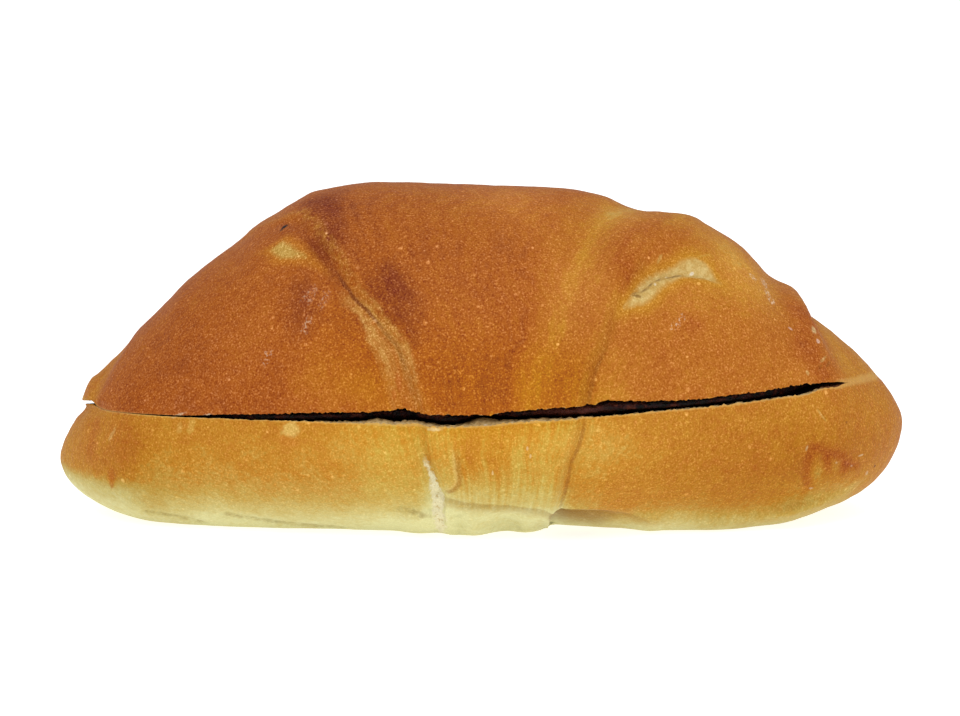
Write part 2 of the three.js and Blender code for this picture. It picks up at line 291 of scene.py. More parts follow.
def line_distance(x, turn, line):
    """Distance over the crust to a line of (place, turn) points."""
    nearest = np.full(np.shape(x), np.inf)
    height = climb(turn)
    for (x0, turn0), (x1, turn1) in zip(line, line[1:]):
        along, up = x1 - x0, climb(turn1) - climb(turn0)
        share = np.clip(((x - x0) * along + (height - climb(turn0)) * up) / (along * along + up * up), 0, 1)
        nearest = np.minimum(nearest, np.hypot(x - x0 - share * along, height - climb(turn0) - share * up))
    return np.where(turn < 1, nearest, FAR)


def inside(x, turn, corners):
    """How far inside a straight-sided patch of the crust a place lies."""
    least = np.full(np.shape(x), np.inf)
    height = climb(turn)
    for (x0, turn0), (x1, turn1) in zip(corners, corners[1:] + corners[:1]):
        along, up = x1 - x0, climb(turn1) - climb(turn0)
        least = np.minimum(least, ((height - climb(turn0)) * along - (x - x0) * up) / math.hypot(along, up))
    return np.where(turn < 1, least, -FAR)


def patch(x, turn, place, size):
    """A soft round patch on the crust, 1 at its middle."""
    return hump(x - place[0], size[0]) * hump(climb(turn) - climb(place[1]), size[1])


def mouth_height(x):
    """The height midway between the lips."""
    return (through(UPPER_LIP, x) + through(LOWER_LIP, x)) / 2


def mouth_edge(x):
    """Where the crust meets the cut on the front."""
    waist, upper, _, half = section(x)
    sine = np.clip((mouth_height(x) - waist) / np.maximum(upper, 0.1), 0, 1)
    return -half * np.sqrt(1 - sine * sine)


def crumb_mounds(x):
    return sum(height * hump(x - place, width) for place, width, height in CRUMB_MOUNDS)


def cut_gap(x, y):
    """How far the cut stands open, widest round the paste and closing towards the hinge."""
    mouth = through(UPPER_LIP, x) - through(LOWER_LIP, x)
    edge = mouth_edge(x)
    hinge = np.minimum(KNIFE_REACH, -edge)
    behind = smoothstep(y - edge, 0, BULGE_DEPTH)
    off_hinge = 1 - smoothstep(y, hinge - HINGE_CLOSING, hinge)
    start, full, fading, end = BULGE_FADES
    along_paste = smoothstep(x, start, full) * smoothstep(x, end, fading)
    closed = lerp(np.minimum(CLOSED_GAP, mouth), mouth, smoothstep(x, *TILTED_END))
    return lerp(closed, mouth, off_hinge) + PASTE_BULGE * behind * off_hinge * along_paste


def cut_faces(x, y):
    """Heights of the cut's upper and lower face, which follow the lips near the mouth."""
    depth = y - mouth_edge(x)
    lips = mouth_height(x)
    middle = lerp(CUT_HEIGHT + CUT_LEAN * x, lips, smoothstep(depth, LIP_DEPTH, 0))
    middle = lerp(middle, lips - (y - TILT_START) * END_TILT, smoothstep(x, *TILTED_END))
    gap = cut_gap(x, y)
    mounds = crumb_mounds(x) * smoothstep(depth, *MOUND_FRONT) * smoothstep(depth, *MOUND_BACK)
    return middle + gap / 2, middle - gap / 2 + np.minimum(mounds, gap * MOUND_SHARE)


def points_of(piece):
    """A piece's points in millimetres, as columns x, y and z."""
    flat = np.empty(len(piece.data.vertices) * 3)
    piece.data.vertices.foreach_get("co", flat)
    return flat.reshape(-1, 3).T / MM


def start_piece(name, size=(1, 1, 1)):
    """Names the primitive just added, draws it out to its size and puts its place in its mesh."""
    piece = bpy.context.object
    piece.name = name
    piece.data.name = name
    bpy.ops.transform.resize(value=size)
    bpy.ops.object.transform_apply(location=True, rotation=True, scale=True)
    return piece


def take_up(piece):
    """Makes a piece the only one selected."""
    bpy.ops.object.select_all(action="DESELECT")
    bpy.context.view_layer.objects.active = piece
    piece.select_set(True)


def finish_with(piece, kind, **settings):
    """Adds a modifier and applies it."""
    take_up(piece)
    modifier = piece.modifiers.new(kind.lower(), kind)
    for name, value in settings.items():
        setattr(modifier, name, value)
    bpy.ops.object.modifier_apply(modifier=modifier.name)


def point_group(piece, shares):
    """A vertex group that holds each point's share, from 0 to 1."""
    group = piece.vertex_groups.new(name="share")
    for point in np.flatnonzero(shares > 0.001):
        group.add([int(point)], float(shares[point]), "REPLACE")
    return group


def push(piece, distance, shares, direction="NORMAL"):
    """Moves a piece's points, each by its share of a distance in millimetres."""
    group = point_group(piece, shares)
    finish_with(piece, "DISPLACE", strength=distance * MM, mid_level=0, direction=direction,
                vertex_group=group.name)
    piece.vertex_groups.clear()


def shift(piece, distances, direction):
    """Moves each point by its own distance in millimetres, forwards or back."""
    for way in (1, -1):
        part = np.maximum(way * distances, 0)
        if part.max() > 0:
            push(piece, way * part.max(), part / part.max(), direction)


def roughen(piece, distance, grain_size, shares=None):
    """Makes a surface uneven, with bumps of a size in millimetres."""
    clouds = bpy.data.textures.new("bumps", "CLOUDS")
    clouds.noise_scale = grain_size * MM
    clouds.noise_depth = 2
    settings = {"texture": clouds, "strength": distance * MM, "mid_level": 0.5}
    if shares is not None:
        settings["vertex_group"] = point_group(piece, shares).name
    finish_with(piece, "DISPLACE", **settings)
    piece.vertex_groups.clear()


def select_points(piece, chosen):
    """Opens a piece in edit mode with only the chosen points selected."""
    take_up(piece)
    bpy.ops.object.mode_set(mode="EDIT")
    bpy.ops.mesh.select_mode(type="VERT")
    bpy.ops.mesh.select_all(action="DESELECT")
    mesh = bmesh.from_edit_mesh(piece.data)
    mesh.verts.ensure_lookup_table()
    for point in np.flatnonzero(chosen):
        mesh.verts[point].select = True
    mesh.select_flush(True)
    bmesh.update_edit_mesh(piece.data)


def draw_ring(mesh, ring, radius, x):
    """Draws one ring of the ball out to the roll's section at x, above the waist and below it."""
    waist, upper, lower, half = (float(size) for size in section(np.array(x)))
    centre = (x * MM, 0, waist * MM)
    parts = (ring, [v for v in ring if v.co.z > 1e-6], [v for v in ring if v.co.z < -1e-6])
    stretches = ((1, half, 1), (1, 1, upper), (1, 1, lower))
    for number, (part, stretch) in enumerate(zip(parts, stretches)):
        bpy.ops.mesh.select_all(action="DESELECT")
        for point in part:
            point.select = True
        mesh.select_flush(True)
        if number == 0:
            bpy.ops.transform.translate(value=(0, 0, waist * MM))
        size = [1 if share == 1 else max(share, LEAST_RING) / radius for share in stretch]
        bpy.ops.transform.resize(value=size, center_override=centre)


def draw_roll():
    """The smooth roll: a ball with its poles at the noses, drawn out ring by ring."""
    radius = LENGTH / 2
    bpy.ops.object.select_all(action="DESELECT")
    bpy.ops.mesh.primitive_uv_sphere_add(segments=CAGE_AROUND, ring_count=CAGE_RINGS, radius=radius * MM,
                                         rotation=(0, math.pi / 2, 0))
    roll = start_piece("bread")
    bpy.ops.object.mode_set(mode="EDIT")
    bpy.ops.mesh.select_mode(type="VERT")
    mesh = bmesh.from_edit_mesh(roll.data)
    angles = np.pi * np.arange(CAGE_RINGS + 1) / CAGE_RINGS
    places = -radius * np.cos(angles)
    rings = [[v for v in mesh.verts if abs(v.co.x / MM - x) < 0.01] for x in places]
    for ring, angle, x in zip(rings, angles, places):
        draw_ring(mesh, ring, max(radius * math.sin(angle), 1), x)
    bpy.ops.object.mode_set(mode="OBJECT")
    finish_with(roll, "SUBSURF", levels=CAGE_LEVELS, render_levels=CAGE_LEVELS)
    x = points_of(roll)[0]
    stretch = LENGTH / (x.max() - x.min())
    bpy.ops.transform.resize(value=(stretch, 1, 1), center_override=(0, 0, 0))
    bpy.ops.object.transform_apply(location=True, rotation=True, scale=True)
    fill_out(roll)
    return roll


def fill_out(roll):
    """Brings the smoothed roll back out to its true section."""
    x, y, z = points_of(roll)
    angle = (turn_at(x, y, z) - 0.5) * math.pi
    waist, upper, lower, half = section(x)
    sine = np.sin(angle)
    shift(roll, -half * np.cos(angle) - y, "Y")
    shift(roll, waist + np.where(sine > 0, upper, lower) * sine - z, "Z")


# Relief of the wraps
OUTER_STEP = 1.1
OUTER_STEP_AT_CREST = 0.2
CREST_SPREAD = 0.5
STEP_ROUNDING = 1.8
CREASE_DEPTH = 0.8
CREASE_WIDTHS = (1.5, 1)
RIGHT_CREASE_SHARE = 0.75
LEFT_RING_STEP = 0.5
LEFT_RING_FADE = (8, 2)
RIGHT_RING_STEP = 1.3
RIGHT_RING_FADE = (12, 1)
RIGHT_RING_LIP = 1
RING_LIP_WIDTH = 2.4
RING_ROUNDING = 3.2
RINGS_SHOW = (0.68, 0.92)
FOLD_DEPTH = (2.7, 0.5)
FOLD_WIDTH = (8, 3.5)


def press_wraps(roll):
    """The wraps' steps, creases and folds all round the roll. Returns where its points were before them."""
    x, y, z = points_of(roll)
    turn = turn_at(x, y, z)
    left = beside(x, turn, left_edge)
    right = beside(x, turn, right_edge)
    keep = nose_opening(LENGTH / 2 - np.abs(x), RELIEF_NOSE_LENGTH)
    off_crest = smoothstep(np.abs(turn - 1), 0, CREST_SPREAD)
    rings_show = smoothstep(from_base(turn), *RINGS_SHOW) * keep

    def beyond(distance, rounding):
        return smoothstep(distance, -rounding / 2, rounding / 2)

    step = lerp(OUTER_STEP_AT_CREST / OUTER_STEP, 1, off_crest) * keep
    push(roll, -OUTER_STEP, step * (beyond(-left, STEP_ROUNDING) + beyond(right, STEP_ROUNDING)))
    crease = hump(left, CREASE_WIDTHS[0]) + RIGHT_CREASE_SHARE * hump(right, CREASE_WIDTHS[1])
    push(roll, -CREASE_DEPTH, np.minimum(off_crest * crease * keep, 1))
    fold_depth = lerp(1, FOLD_DEPTH[1] / FOLD_DEPTH[0], off_crest)
    fold_width = lerp(*FOLD_WIDTH, off_crest)
    push(roll, -FOLD_DEPTH[0], fold_depth * hump(x - through(FOLD_LINE, turn), fold_width))
    past_ring = through(LEFT_RING, from_base(turn)) - x
    fading = smoothstep(past_ring, *LEFT_RING_FADE)
    push(roll, -LEFT_RING_STEP, beyond(past_ring, RING_ROUNDING) * fading * rings_show)
    past_ring = x - through(RIGHT_RING, from_base(turn))
    fading = smoothstep(past_ring, *RIGHT_RING_FADE)
    push(roll, -RIGHT_RING_STEP, beyond(past_ring, RING_ROUNDING) * fading * rings_show)
    push(roll, RIGHT_RING_LIP, hump(past_ring + RING_LIP_WIDTH, RING_LIP_WIDTH) * rings_show)
    return x, turn


# Relief of the smaller marks: depths or rises, half widths, and the turns or places that they keep to
GROOVE_DEPTH = 0.7
GROOVE_WIDTH = 1.1
GROOVE_TURNS = (0.74, 0.9)
STRANDS = ((LEFT_STRAND, 0.35, 0.7), (RIGHT_STRAND, 0.45, 0.8))
STRAND_TURNS = (0.56, 0.71)
EYE_SPAN = (26, 40)
EYE_MIDDLE = 33.5
EYE_DROP = 0.6
EYE_RISE = 0.35
GAP_SIZE = (8, 4.5)
GAP_DEPTH = 0.9
TONGUE_RISE = 0.5
TONGUE_FADE = (0.54, 0.5)
TEAR_DEPTH = 0.45
TEAR_WIDTH = 0.9
TEAR_TURNS = (0.24, 0.47)
TEAR_BUMPS = (1.1, 0.8)
TAIL_RIM = 0.6
BASE_CREASE = (0.55, 0.9)
SCALE_CREASE = (0.2, 0.8)
NOSE_SETBACK = 1.2
NOSE_SETBACK_SHARES = [(12, 0), (15, 0.1), (18.5, 0.4), (20.4, 1)]
NOSE_SETBACK_TOP = (21.8, 21.4)
NOSE_SETBACK_SPAN = (-63, -70)

# Unevenness of the tail: height and size of the bumps, and how far over the overhang they start and are full
TAIL_BUMPS = ((0.9, 3, 0, -3), (0.9, 1.2, -1, -5))

# Unevenness of the whole crust: height and size of the bumps
CRUST_BUMPS = ((0.5, 14), (0.16, 2.2))


def press_seam(roll, x, turn):
    """The groove and strands of the seam on the left, and the eye that gapes on the right."""
    front = turn < 1
    left = beside(x, turn, left_edge)
    push(roll, -GROOVE_DEPTH, hump(left, GROOVE_WIDTH) * within(turn, *GROOVE_TURNS, 0.03) * front)
    in_seam = within(turn, *STRAND_TURNS, 0.02) * front
    for strand, rise, width in STRANDS:
        push(roll, rise, hump(beside_line(x, turn, strand), width) * in_seam)
    eye = above(x, turn, EYE_LINE)
    along_eye = within(x, *EYE_SPAN, 1.2) * front
    push(roll, -GAP_DEPTH, hump(x - EYE_MIDDLE, GAP_SIZE[0]) * hump(eye - 1, GAP_SIZE[1]) * front)
    push(roll, -EYE_DROP, smoothstep(eye, -0.4, 0.4) * smoothstep(eye, 4, 0.6) * along_eye)
    push(roll, EYE_RISE, smoothstep(eye, 0.3, -0.4) * smoothstep(eye, -4, -0.6) * along_eye)


def press_lower_marks(roll, x, turn):
    """The tongue and the torn strip, and the tail, recess, creases and scales under the roll's front."""
    front = turn < 1
    tongue = TONGUE_RADIUS - line_distance(x, turn, TONGUE_SPINE)
    push(roll, TONGUE_RISE, smoothstep(tongue, -0.3, 0.5) * smoothstep(turn, *TONGUE_FADE))
    in_tear = hump(beside_line(x, turn, TORN_STRIP), TEAR_WIDTH) * within(turn, *TEAR_TURNS, 0.02) * front
    push(roll, -TEAR_DEPTH, in_tear)
    roughen(roll, *TEAR_BUMPS, in_tear)

    overhang = above(x, turn, OVERHANG_LINE)
    depth = through(RECESS_DEPTH, x) * within(x, TAIL_END, RECESS_END, 0.35)
    shift(roll, np.maximum(depth, 0) * smoothstep(overhang, 0.25, -0.55) * front, "Y")
    shift(roll, np.minimum(depth, 0) * smoothstep(overhang, 3, -2) * front, "Y")
    in_tail = smoothstep(x, *TAIL_START) * smoothstep(x, TAIL_END + 0.3, TAIL_END - 0.3) * front
    push(roll, TAIL_RIM, hump(overhang, TAIL_RIM) * in_tail, "Y")
    push(roll, -TAIL_RIM, smoothstep(overhang, 0, -5) * in_tail, "Y")
    on_tail = smoothstep(overhang, -0.5, -5) * within(x, -14, TAIL_END, 1) * front
    shift(roll, -through(TAIL_REACH, x) * on_tail, "Y")
    for distance, grain_size, start, full in TAIL_BUMPS:
        roughen(roll, distance, grain_size, smoothstep(overhang, start, full) * in_tail)
    for lines, (depth, width) in ((BASE_CREASES, BASE_CREASE), (SCALE_EDGES, SCALE_CREASE)):
        for line in lines:
            push(roll, -depth, hump(line_distance(x, turn, line), width))


def press_left_nose(roll):
    """The lower half of the left nose stands a little behind the upper half."""
    x, y, z = points_of(roll)
    level = z + (y - TILT_START) * END_TILT
    below = through(NOSE_SETBACK_SHARES, level) * smoothstep(level, *NOSE_SETBACK_TOP)
    push(roll, -NOSE_SETBACK, below * smoothstep(x, *NOSE_SETBACK_SPAN))


def set_down(roll):
    """Flattens the underside that the roll rests on."""
    for _ in range(2):
        select_points(roll, points_of(roll)[2] < 0)
        bpy.ops.transform.resize(value=(1, 1, 0), center_override=(0, 0, 0))
        bpy.ops.object.mode_set(mode="OBJECT")
        select_points(roll, points_of(roll)[2] < BASE_ROUNDING)
        bpy.ops.mesh.vertices_smooth(factor=0.5, repeat=3)
        bpy.ops.object.mode_set(mode="OBJECT")


def knife_cut():
    """What the knife takes away: a thin ragged wedge from in front of the roll to the hinge."""
    start, end = KNIFE_SPAN
    bpy.ops.object.select_all(action="DESELECT")
    bpy.ops.mesh.primitive_grid_add(x_subdivisions=CUT_COLUMNS, y_subdivisions=CUT_ROWS, size=1,
                                    location=((start + end) / 2 * MM, 0, 0))
    cut = start_piece("knife_cut", ((end - start) * MM, MM, 1))
    x, y, _ = points_of(cut)
    share = y + 0.5
    first = 1 / CUT_ROWS
    behind = np.clip((share - first) / (1 - first), 0, 1) ** ROW_CROWDING
    within_crust = np.minimum(KNIFE_REACH, -mouth_edge(x) - BACK_CRUST)
    deepest = np.where(x < TILTED_END[0], KNIFE_REACH, within_crust)
    reach = np.where(share < first / 2, -WIDTH, lerp(mouth_edge(x) - CUT_OVERLAP, deepest, behind))
    shift(cut, reach - y, "Y")
    finish_with(cut, "SOLIDIFY", thickness=MM, offset=0)
    x, y, z = points_of(cut)
    top, bottom = cut_faces(x, y)
    shift(cut, np.where(z > 0, top, bottom) - z, "Z")
    near_mouth = smoothstep(y - mouth_edge(x), 6, 2)
    roughen(cut, *LIP_BUMPS, np.clip(cut_gap(x, y) / RAGGED_GAP, 0.02, 1) * (0.35 + 0.65 * near_mouth))
    return cut


def open_mouth(roll, crumb):
    """Cuts the mouth into the roll; the cut's faces show the crumb."""
    cut = knife_cut()
    cut.data.materials.append(crumb)
    finish_with(roll, "BOOLEAN", object=cut, operation="DIFFERENCE", solver="MANIFOLD",
                material_mode="TRANSFER")
    bpy.data.objects.remove(cut)


# How far places are baked, from 0, pale dough, to 1, dark brown: (place, turn), (length, height), change of
# the bake, change of how light the crust looks (painted light and shade)
BAKE_SPOTS = [
    ((-25, 0.867), (4.2, 8), 0.11, 0),
    ((-28, 0.9), (5, 7), 0.08, -0.01),
    ((-25.5, 0.82), (3.5, 4), 0.06, 0),
    ((-27.5, 0.8), (3, 3.5), 0.06, -0.02),
    ((-28, 0.93), (4, 4), 0.05, -0.015),
    ((-17.5, 0.72), (3, 4), 0.05, -0.015),
    ((-17, 0.61), (4, 7), 0, -0.02),
    ((-38, 0.57), (6, 4), 0, -0.02),
    ((-50, 0.8), (6, 8), 0, -0.015),
    ((-60, 0.68), (5, 7), 0, -0.02),
    ((-17, 0.88), (5, 8), 0.03, 0),
    ((-15.7, 0.73), (3, 4.2), 0.11, 0),
    ((-13, 0.7), (3.4, 4.6), 0.11, 0),
    ((-11, 0.66), (2.6, 4), 0.08, 0),
    ((-30.5, 0.7), (3, 5), 0.1, 0),
    ((-19, 0.58), (6, 3.5), -0.12, 0),
    ((-27, 0.59), (8, 6), -0.12, 0),
    ((-38, 0.7), (5, 8), -0.05, 0),
    ((7, 0.89), (8, 12), -0.02, 0.045),
    ((3.5, 0.925), (7, 5), 0, 0.03),
    ((24, 0.91), (5, 8), -0.07, 0.03),
    ((20, 0.74), (5, 7), -0.05, 0.02),
    ((14, 0.74), (4, 6), -0.02, 0.025),
    ((14, 0.59), (4, 5), 0, -0.035),
    ((24, 0.6), (4, 8), -0.04, 0),
    ((23.8, 0.75), (2.2, 5), 0.09, -0.015),
    ((31, 0.86), (6, 5), 0.12, 0),
    ((26, 0.8), (3, 6), 0.08, 0),
    ((35.5, 0.73), (5, 5), -0.07, 0.02),
    ((35.5, 0.685), (2.2, 2.4), 0.13, 0),
    ((45.5, 0.82), (5, 9), -0.06, 0.03),
    ((45, 0.85), (4, 4), 0.02, 0.02),
    ((4, 0.515), (9, 2.2), 0, 0.025),
    ((14, 0.515), (6, 2.2), 0, 0.02),
    ((-6.5, 0.515), (4, 2.2), 0, 0.02),
    ((48, 0.42), (20, 13), 0, -0.015),
    ((-56, 0.5), (12, 13), 0, -0.01),
    ((36, 0.835), (3.5, 2.2), -0.08, -0.01),
    ((25.5, 0.755), (2.4, 3), 0.07, -0.01),
    ((43, 0.9), (6, 8), -0.11, 0.02),
    ((24, 0.95), (4, 8), -0.06, 0),
    ((55.5, 0.86), (3, 5), 0.2, 0),
    ((56.5, 0.76), (3.2, 6), 0.15, 0),
    ((59, 0.69), (2.2, 4), 0.1, 0),
    ((55, 0.66), (3.5, 5), -0.04, 0.015),
    ((20, 0.57), (3, 2), -0.1, 0),
    ((-63.9, 0.45), (0.9, 3), 0.18, 0),
    ((-67, 0.66), (1, 4), 0.09, 0),
    ((-67.6, 0.61), (1, 4), 0.09, 0),
    ((-68.3, 0.56), (1, 3.5), 0.06, 0),
    ((-59.8, 0.56), (4.5, 5), 0.05, -0.02),
    ((-60, 0.4), (8, 9), 0, -0.035),
    ((-15, 0.4), (10, 11), -0.07, 0.015),
    ((-17, 0.5), (13, 4.5), -0.07, 0.02),
    ((-47, 0.25), (8, 4), -0.07, 0),
    ((-30, 0.24), (15, 4), -0.05, 0),
    ((-14, 0.24), (6, 5), -0.1, 0),
    ((-7, 0.38), (3, 5), -0.08, 0),
    ((-2, 0.47), (1.2, 5), 0.08, 0),
    ((3.7, 0.45), (1.3, 6), 0.08, 0),
    ((6.2, 0.4), (1.1, 6), -0.05, 0),
    ((12, 0.48), (9, 5), -0.09, 0.02),
    ((23, 0.5), (8, 4.5), -0.07, 0.015),
    ((26, 0.22), (11, 3.5), -0.08, 0.01),
    ((34.5, 0.265), (6, 3), -0.06, 0.01),
    ((40, 0.31), (10, 7), 0, -0.025),
    ((58, 0.42), (11, 10), 0, -0.04),
    ((58, 0.391), (1.3, 2.4), -0.1, 0.01),
    ((61.3, 0.395), (1.2, 1.6), -0.1, 0.01),
    ((64, 0.27), (6, 4), -0.12, 0),
]

# Places that butter left a deeper yellow: (place, turn), (length, height), strength
BUTTERY_SPOTS = [((-20, 0.66), (11, 12), 0.8), ((0, 0.585), (14, 8), 1), ((14, 0.59), (5, 5), 0.5),
                 ((6, 0.88), (10, 12), 0.4), ((-15, 0.45), (8, 7), 0.25), ((3, 0.45), (6, 7), 0.1),
                 ((14, 0.45), (8, 7), 0.22)]

# The bake above the cut, and how much darker or lighter its parts are
OUTER_WRAP_BAKE = 0.77
LEFT_WRAP_DARKER = 0.02
RIGHT_WRAP_LIGHTER = 0.14
CREST_LIGHTER = 0.05
PAST_BORDER_LIGHTER = 0.1
FOLD_LIGHTER = 0.1
EDGE_LIGHTER = 0.1
LEFT_NOSE_BAKE = 0.58
RIGHT_NOSE_BAKE = 0.5
SCALES_DARKER = 0.14

# The bake below the cut, by height
LOWER_LEFT_BAKE = [(0, 0.05), (2, 0.1), (4, 0.18), (8.7, 0.36), (12, 0.44), (18, 0.5)]
LOWER_RIGHT_BAKE = [(0, 0.1), (2, 0.2), (3.5, 0.3), (6.5, 0.43), (12, 0.5), (18, 0.52)]
LOWER_MIDDLE_BAKE = [(0, 0.02), (6, 0.04), (7.2, 0.15), (9.5, 0.24), (12, 0.36), (16, 0.45), (18, 0.47)]
LOWER_LEFT_NOSE_BAKE = [(0, 0.03), (5, 0.07), (7.6, 0.16), (10.2, 0.45), (18, 0.54)]
LOWER_RIGHT_NOSE_BAKE = 0.55


def upper_bake(x, turn):
    """How far the crust above the cut is baked: darkest on the outer wrap, lighter along its folds."""
    left = beside(x, turn, left_edge)
    right = beside(x, turn, right_edge)
    bake = OUTER_WRAP_BAKE + LEFT_WRAP_DARKER * smoothstep(left, 1, -1)
    bake -= RIGHT_WRAP_LIGHTER * smoothstep(right, -1, 1)
    bake -= CREST_LIGHTER * smoothstep(from_base(turn), 0.72, 0.9)
    past_border = smoothstep(x - through(RED_BORDER, turn), -1, 2)
    bake -= PAST_BORDER_LIGHTER * past_border * smoothstep(right, 1, -1)
    bake = lerp(bake, LEFT_NOSE_BAKE, smoothstep(through(LEFT_RING, from_base(turn)) - x, -1.2, 1.6))
    bake = lerp(bake, RIGHT_NOSE_BAKE, smoothstep(x - through(RIGHT_RING, from_base(turn)), -0.5, 3.5))
    bake -= FOLD_LIGHTER * hump(x - through(FOLD_LINE, turn) - 1, 2.4)
    return bake - EDGE_LIGHTER * hump(right + 1.6, 1.6)


def lower_bake(x, y, z):
    """How far the crust below the cut is baked: pale at the base, browner towards the cut."""
    bake = lerp(through(LOWER_LEFT_BAKE, z), through(LOWER_RIGHT_BAKE, z), smoothstep(x, 12, 24))
    bake = lerp(bake, through(LOWER_MIDDLE_BAKE, z), smoothstep(x, -12, -7) * smoothstep(x, 16, 12) * (y < 0))
    bake = lerp(bake, through(LOWER_LEFT_NOSE_BAKE, z), smoothstep(x, -55, -63))
    return lerp(bake, LOWER_RIGHT_NOSE_BAKE, smoothstep(x, 58, 66) * smoothstep(z, 4, 10))


def bake_of(x, y, z, turn):
    """How far the crust is baked at each point, how buttery it is, and how much lighter it looks, which is
    painted light and shade.
    """
    front = turn < 1
    above_cut = np.where(y < 12, z > cut_faces(x, y)[0] - 0.1, smoothstep(z, 10, 36))
    bake = lerp(lower_bake(x, y, z), upper_bake(x, turn), above_cut)
    light = np.zeros(len(x))
    for place, size, change, lighter in BAKE_SPOTS:
        spot = patch(x, turn, place, size) * front
        bake = bake + change * spot
        light = light + lighter * spot
    for edge in SCALE_EDGES:
        bake = bake + SCALES_DARKER * hump(line_distance(x, turn, edge), 0.9)
    butter = sum(strength * patch(x, turn, place, size) for place, size, strength in BUTTERY_SPOTS) * front
    return np.clip(bake, 0, 1), np.clip(butter, 0, 1), light


def keep_values(piece, name, *values):
    """Keeps three numbers at each point for the finish to read."""
    attribute = piece.data.attributes.new(name, "FLOAT_VECTOR", "POINT")
    attribute.data.foreach_set("vector", np.stack(values, 1).astype(np.float32).ravel())


def mark_crust(roll):
    """Keeps what the finishes follow: the bake, and how far places lie from edges, marks and lips."""
    x, y, z = points_of(roll)
    turn = turn_at(x, y, z)
    front = turn < 1
    keep_values(roll, "baking", *bake_of(x, y, z, turn))
    keep_values(roll, "seams", beside(x, turn, left_edge), beside(x, turn, right_edge), climb(turn))
    lines = [beside_line(x, turn, line) for line in (LEFT_STRAND, RIGHT_STRAND, TORN_STRIP)]
    keep_values(roll, "strands", *(np.where(front, line, FAR) for line in lines))
    cream = np.minimum(-above(x, turn, EYE_TOP), above(x, turn, EYE_BOTTOM))
    cream = np.minimum(cream, np.minimum(x - EYE_ENDS[0], EYE_ENDS[1] - x))
    eye = np.where(front, above(x, turn, EYE_LINE), FAR)
    keep_values(roll, "eye", eye, np.where(front, cream, -FAR), inside(x, turn, PALE_CORNER))
    crease = np.min([line_distance(x, turn, line) for line in BASE_CREASES], 0)
    tongue = np.where(turn < 0.53, TONGUE_RADIUS - line_distance(x, turn, TONGUE_SPINE), -FAR)
    keep_values(roll, "base", above(x, turn, OVERHANG_LINE), crease, tongue)
    middle = mouth_height(x)
    lip = np.where(z > middle, z - through(UPPER_LIP, x), through(LOWER_LIP, x) - z)
    keep_values(roll, "mouth", y - mouth_edge(x), np.where(y < 2, lip, FAR), z - middle)


def bake_roll(crust, crumb):
    roll = draw_roll()
    x, turn = press_wraps(roll)
    press_seam(roll, x, turn)
    press_lower_marks(roll, x, turn)
    press_left_nose(roll)
    for bumps in CRUST_BUMPS:
        roughen(roll, *bumps)
    set_down(roll)
    roll.data.materials.append(crust)
    open_mouth(roll, crumb)
    mark_crust(roll)
    take_up(roll)
    bpy.ops.object.shade_smooth_by_angle(angle=math.radians(55))
    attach(roll, "root")
    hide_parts("bread_roll")


PASTE_SPAN = (-53, 59)
PASTE_INSET = 1.2
PASTE_BACK_INSET = 3
PASTE_COLUMNS = 140
PASTE_ROWS = 14
MOUND_SETBACK = 3.4
END_NARROWING = 0.75
RIM_THINNING = 0.35
RIM_SHARPNESS = 8
PASTE_OVERFILL = 0.1
LEAST_PASTE = 0.15
PASTE_BUMPS = (0.5, 1.6)


def spread_paste(finish):
    """The bean paste: a sheet in the middle of the cut, thickened to fill it and left lumpy."""
    span = PASTE_SPAN[1] - PASTE_SPAN[0]
    bpy.ops.object.select_all(action="DESELECT")
    bpy.ops.mesh.primitive_grid_add(x_subdivisions=PASTE_COLUMNS, y_subdivisions=PASTE_ROWS, size=1,
                                    location=((PASTE_SPAN[0] + span / 2) * MM, 0, 0))
    paste = start_piece("bean_spread", (span * MM, MM, 1))
    x, y, _ = points_of(paste)
    end = np.abs(2 * (x - PASTE_SPAN[0]) / span - 1)
    share = 0.5 + y * np.sqrt(1 - END_NARROWING * end**RIM_SHARPNESS)
    front = mouth_edge(x) + PASTE_INSET + MOUND_SETBACK * crumb_mounds(x)
    back = np.minimum(KNIFE_REACH, -mouth_edge(x)) - PASTE_BACK_INSET
    shift(paste, lerp(front, back, share) - y, "Y")
    rim = np.tile(np.maximum(end, np.abs(2 * share - 1)), 2)
    finish_with(paste, "SOLIDIFY", thickness=MM, offset=0)
    x, y, z = points_of(paste)
    top, bottom = cut_faces(x, y)
    half = (top - bottom + PASTE_OVERFILL) / 2 * lerp(1, RIM_THINNING, rim**RIM_SHARPNESS)
    half = np.maximum(half, LEAST_PASTE)
    shift(paste, (top + bottom) / 2 + np.where(z > 0, half, -half) - z, "Z")
    finish_with(paste, "SUBSURF", levels=1, render_levels=1)
    roughen(paste, *PASTE_BUMPS)
    paste.data.materials.append(finish)
    take_up(paste)
    bpy.ops.object.shade_smooth()
    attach(paste, "root")
    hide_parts("bean_paste")


